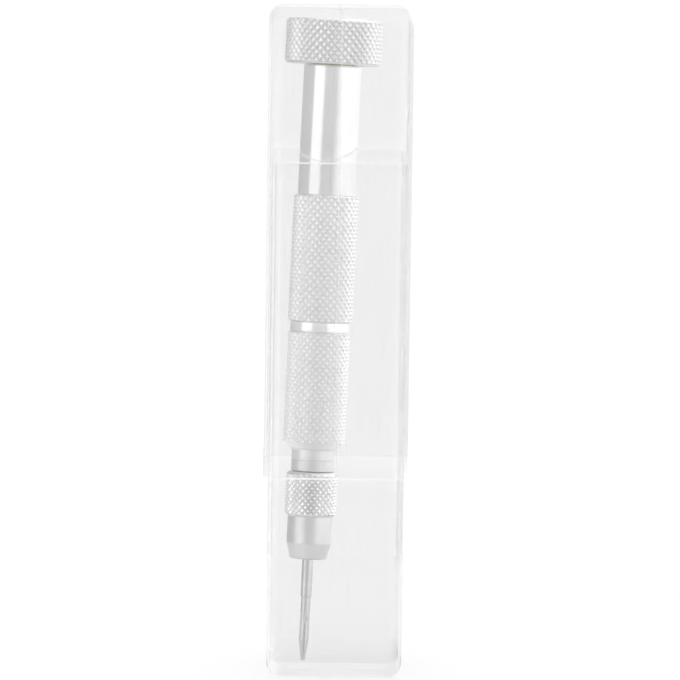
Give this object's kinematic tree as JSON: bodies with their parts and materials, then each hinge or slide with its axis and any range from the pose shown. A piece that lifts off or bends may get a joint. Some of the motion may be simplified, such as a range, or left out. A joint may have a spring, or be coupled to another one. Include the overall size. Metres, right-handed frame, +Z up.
{
  "type": "pocket screwdriver",
  "caption": "Knurled pocket screwdriver with a free-turning head, bit store and chuck, standing in a clear telescoping case.",
  "frame": {"origin": "middle of the case's foot", "axes": "+Z up along the case, front of the case faces -Y, +X to the right"},
  "size_m": [0.0284, 0.0284, 0.1309],
  "materials": {
    "clear_plastic": "clear, slightly hazy moulded plastic",
    "knurled_nickel": "satin nickel plate over diamond knurling",
    "polished_nickel": "polished nickel plate",
    "satin_nickel": "fine turned nickel plate",
    "tool_steel": "ground tool steel",
    "spring_steel": "dark spring steel",
    "brass": "plain brass",
    "rubber": "matt black rubber",
    "felt": "grey felt",
    "carrier_plastic": "matt black plastic",
    "magnet": "plated magnet"
  },
  "bodies": {
    "screwdriver": {"rear_barrel": "knurled_nickel", "band_ring": "polished_nickel", "front_barrel": "knurled_nickel", "chuck_body": "satin_nickel", "bit_stop": "magnet", "bit_magazine": "carrier_plastic", "spare_slot_bit_small": "tool_steel", "spare_slot_bit_large": "tool_steel", "spare_cross_bit": "tool_steel"},
    "case_cap": {"case_cap": "clear_plastic"},
    "case_base": {"case_base": "clear_plastic"},
    "thrust_washer": {"thrust_washer": "brass"},
    "neck_cap": {"neck_cap": "polished_nickel", "cap_o_ring": "rubber", "rattle_pad": "felt", "swivel_pin": "spring_steel", "retaining_clip": "spring_steel"},
    "swivel_head": {"swivel_head": "knurled_nickel", "head_disc": "polished_nickel"},
    "collet": {"collet": "spring_steel"},
    "chuck_nut": {"chuck_nut": "knurled_nickel"},
    "driver_bit": {"driver_bit": "tool_steel"}
  },
  "joints": [
    {"name": "case_cap_slide", "type": "slide", "parent": "screwdriver", "child": "case_cap", "axis": [0, 0, 1], "range_m": [0, 0.1]},
    {"name": "case_base_slide", "type": "slide", "parent": "screwdriver", "child": "case_base", "axis": [0, 0, -1], "range_m": [0, 0.13]},
    {"name": "neck_cap_lift", "type": "slide", "parent": "screwdriver", "child": "thrust_washer", "axis": [0.0389, 0.1111, 0.993], "range_m": [0, 0.003]},
    {"name": "neck_cap_turn", "type": "hinge", "parent": "thrust_washer", "child": "neck_cap", "pos_m": [-0.00211, 0.00071, 0.10255], "axis": [0.0389, 0.1111, 0.993], "range_deg": [0, 1440]},
    {"name": "swivel_head_turn", "type": "hinge", "parent": "thrust_washer", "child": "swivel_head", "pos_m": [-0.00133, 0.00293, 0.12242], "axis": [0.0389, 0.1111, 0.993], "continuous": true},
    {"name": "collet_slide", "type": "slide", "parent": "screwdriver", "child": "collet", "axis": [-0.0389, -0.1111, -0.993], "range_m": [0, 0.0008]},
    {"name": "chuck_nut_turn", "type": "hinge", "parent": "collet", "child": "chuck_nut", "pos_m": [-0.00483, -0.00707, 0.03304], "axis": [-0.0389, -0.1111, -0.993], "range_deg": [0, 576]},
    {"name": "bit_draw", "type": "slide", "parent": "screwdriver", "child": "driver_bit", "axis": [-0.0389, -0.1111, -0.993], "range_m": [0, 0.015]}
  ],
  "couplings": [
    {"joint": "neck_cap_lift", "follows": "case_cap_slide", "ratio": 0.03},
    {"joint": "neck_cap_turn", "follows": "case_cap_slide", "rad_per_m": 251.33},
    {"joint": "collet_slide", "follows": "chuck_nut_turn", "m_per_rad": 0.000079577},
    {"joint": "bit_draw", "follows": "case_base_slide", "ratio": 0.11538}
  ]
}
